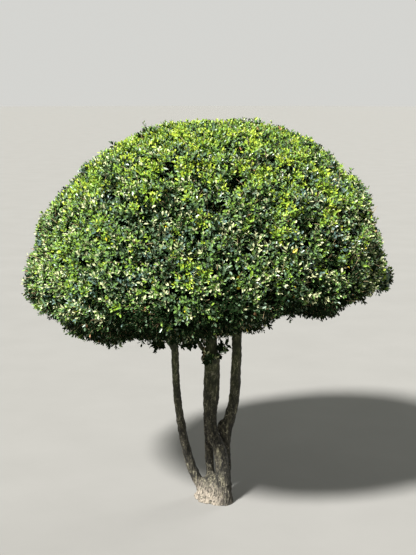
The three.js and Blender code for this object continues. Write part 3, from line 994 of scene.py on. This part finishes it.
def set_leaves(name, leaves, tree, blade, length, material):
    """The pieces that hold the given leaves, by their foot, heading, upper face and size."""
    parts = math.ceil(len(leaves[0]) / LEAVES_PER_PIECE)
    for part, members in enumerate(np.array_split(np.arange(len(leaves[0])), parts)):
        feet, headings, faces, sizes = [column[members] for column in leaves]
        source = mesh_from("leaf_points", feet, heading=headings, face=faces, size=sizes)
        piece = run_tree(tree, source, f"{name}_{part + 1}" if parts > 1 else name, {
            "Blade": blade, "Leaf length": length, "Smallest": LEAF_SIZES[0], "Largest": LEAF_SIZES[1],
            "Seed": part, "Leaf": material})
        add_piece(piece, "foliage", CROWN, *LOW_SPRAYS)


def add_piece(piece, slot, *nodes):
    """Puts a finished piece under the root body and hides the frame nodes that it stands for."""
    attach(piece, "root")
    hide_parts(*nodes)


def crown_surface():
    """The crown's face in the frame, to look up the nearest place on it."""
    holder = new_object("crown_surface", merged_copy([CROWN]))
    surface = BVHTree.FromObject(holder, bpy.context.evaluated_depsgraph_get())
    bpy.data.objects.remove(holder)
    return surface


def grow_limbs(places, forks, masses, draws):
    """The limbs that lead from the frame's stems and boughs to every fork, and thinner ones from the nearest
    wood to the low sprays."""
    limbs = []
    in_crown = np.flatnonzero(masses == CROWN)
    aims = np.array(list(AIMS.values()))
    nearest = np.linalg.norm(places[in_crown, None] - aims[None], axis=2).argmin(1)
    for number, name in enumerate(AIMS):
        start, heading, radius = limb_end(name)
        limbs += grow(start, heading, radius, forks[in_crown[nearest == number]], draws)
    wood = points_of(merged_copy(LIMBS))
    for mass in LOW_SPRAYS:
        targets = forks[masses == mass]
        middle = targets.mean(0)
        start = wood[np.linalg.norm(wood - middle, axis=1).argmin()]
        limbs += grow(start, unit(middle - start), SPRAY_LIMB_RADIUS, targets, draws)
    return limbs


def tubes_along(name, limbs, tree, tube, bark):
    """One object with a tube along every limb."""
    points, edges, girths = lines_of(limbs)
    return run_tree(tree, mesh_from("lines", points, edges, girth=girths), name, {**tube, "Bark": bark})


def make_leaf_pieces(leaves, inner):
    """The pieces that hold the outer leaves, one kind in each, and the inner leaves."""
    tree = leaf_tree()
    materials = {kind: leaf_material(kind) for kind in LEAF_KINDS}
    blade = leaf_blade()
    for number, kind in enumerate(LEAF_KINDS):
        chosen = [column[leaves[-1] == number] for column in leaves[:-1]]
        set_leaves(kind + "_leaves", chosen, tree, blade, LEAF_LENGTH, materials[kind])
    bpy.data.objects.remove(blade)
    blade = inner_blade()
    set_leaves("inner_leaves", inner, tree, blade, INNER_LEAF_LENGTH, materials["shade"])
    bpy.data.objects.remove(blade)


def grow_plant():
    """Stems, limbs, twigs and leaves, each from the one before."""
    draws = np.random.default_rng(SEED)
    places, normals, masses = place_tufts(draws)
    small = masses != CROWN
    tops = places - normals * cut_depths(places, small, draws)[:, None]
    forks = tops - tuft_headings(normals) * np.where(small, LOW_SHOOT_LENGTH, SHOOT_LENGTH)[:, None]
    limbs = grow_limbs(places, forks, masses, draws)

    bark = bark_material()
    tubes = tube_tree()
    add_piece(barked("barked_stems", merged_copy(LIMBS, LIMB_SWELL), STEM_FACE, bark), "bark", *LIMBS)
    stout = [limb for limb in limbs if limb[0][1] > BOUGH_GIRTH]
    boughs = tubes_along("bough_tubes", stout, tubes, BOUGH_TUBE, bark)
    boughs_mesh = boughs.data
    bpy.data.objects.remove(boughs)
    add_piece(barked("crown_boughs", boughs_mesh, BOUGH_FACE, bark), "bark", CROWN)
    slender = [limb for limb in limbs if limb[0][1] <= BOUGH_GIRTH]
    add_piece(tubes_along("crown_branches", slender, tubes, BRANCH_TUBE, bark), "bark", CROWN)

    counts = np.where(small, SHOOTS_PER_LOW_TUFT, SHOOTS_PER_TUFT)
    counts += draws.integers(-SHOOTS_DIFFER, SHOOTS_DIFFER + 1, len(tops))
    tuft, feet, tips, bare = make_shoots(tops, normals, forks, counts, crown_surface(), draws)
    girths = np.where(bare[:, None], BARE_RADIUS, TWIG_RADIUS)
    shoots = [[(foot, thick), (tip, thin)] for foot, tip, (thick, thin) in zip(feet, tips, girths)]
    twigs = tubes_along("leafy_twigs", shoots, tubes, TWIG_TUBE, twig_material())
    add_piece(twigs, "bark", CROWN, *LOW_SPRAYS)

    shares = deal_sprays(places, normals)
    agree = draws.random(len(tuft)) < TUFT_AGREES
    sprays = np.where(agree, choose(shares, draws)[tuft], choose(shares[tuft], draws))
    light = unit(normals[tuft] + UP * SKY_PULL)
    leaves = make_leaves(feet[~bare], tips[~bare], light[~bare], sprays[~bare], draws)
    odd = draws.random(len(leaves[-1]))
    leaves[-1][odd < YELLOW_SHARE] = list(LEAF_KINDS).index("yellow")
    leaves[-1][odd > 1 - WITHERED_SHARE] = list(LEAF_KINDS).index("withered")
    make_leaf_pieces(leaves, make_inner_leaves(slender, draws))


make_camera()
make_floor()
light_studio()
grow_plant()
